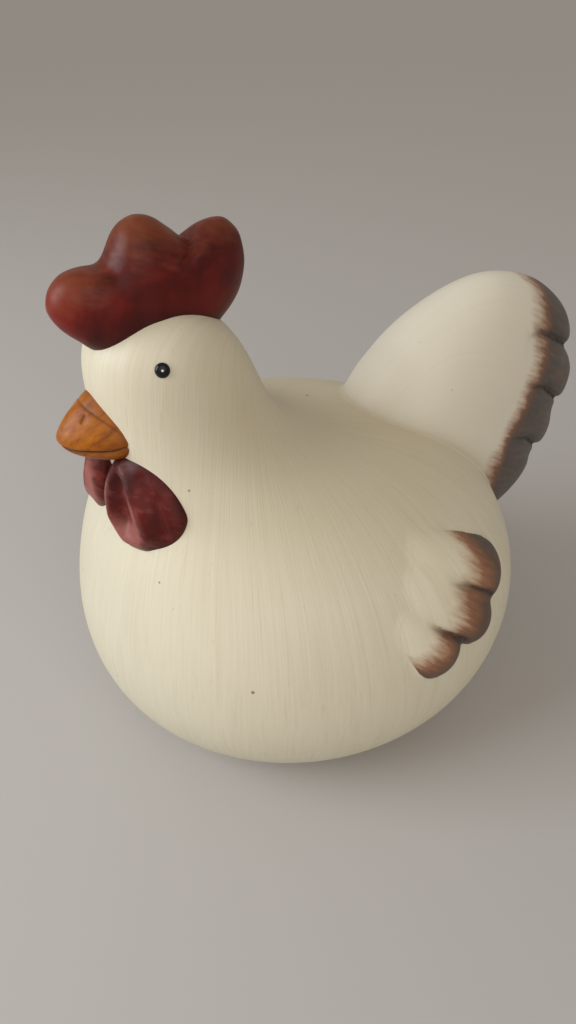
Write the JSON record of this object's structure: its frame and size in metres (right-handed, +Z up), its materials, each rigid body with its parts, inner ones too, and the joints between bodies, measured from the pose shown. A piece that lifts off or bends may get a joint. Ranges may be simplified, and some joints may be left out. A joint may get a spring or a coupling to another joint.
{
  "type": "ceramic hen ornament",
  "caption": "Free-standing hollow ceramic figure of a sitting hen with puffed comb, wattles, folded wings and a fan tail, painted cream with dark feather tips.",
  "frame": {"origin": "middle of the flat base, on the surface that the hen stands on", "axes": "+Z up, the hen faces -Y, its left side is +X"},
  "size_m": [0.3162, 0.4107, 0.359],
  "materials": {
    "cream_paint": "satin hand-brushed paint over fired clay",
    "tipped_paint": "satin paint, dry-brushed from cream to orange-brown to near black at the feather tips",
    "red_paint": "semi-gloss dark red paint rubbed with ochre on the high places",
    "ochre_paint": "semi-gloss ochre paint with brown wash in the lines",
    "black_glaze": "gloss black bead"
  },
  "bodies": {
    "root": {"body_shell": "cream_paint", "tail": "tipped_paint", "wing_left": "tipped_paint", "wing_right": "tipped_paint", "comb": "red_paint", "beak": "ochre_paint", "wattle_left": "red_paint", "wattle_right": "red_paint", "eye_left": "black_glaze", "eye_right": "black_glaze"}
  },
  "joints": []
}
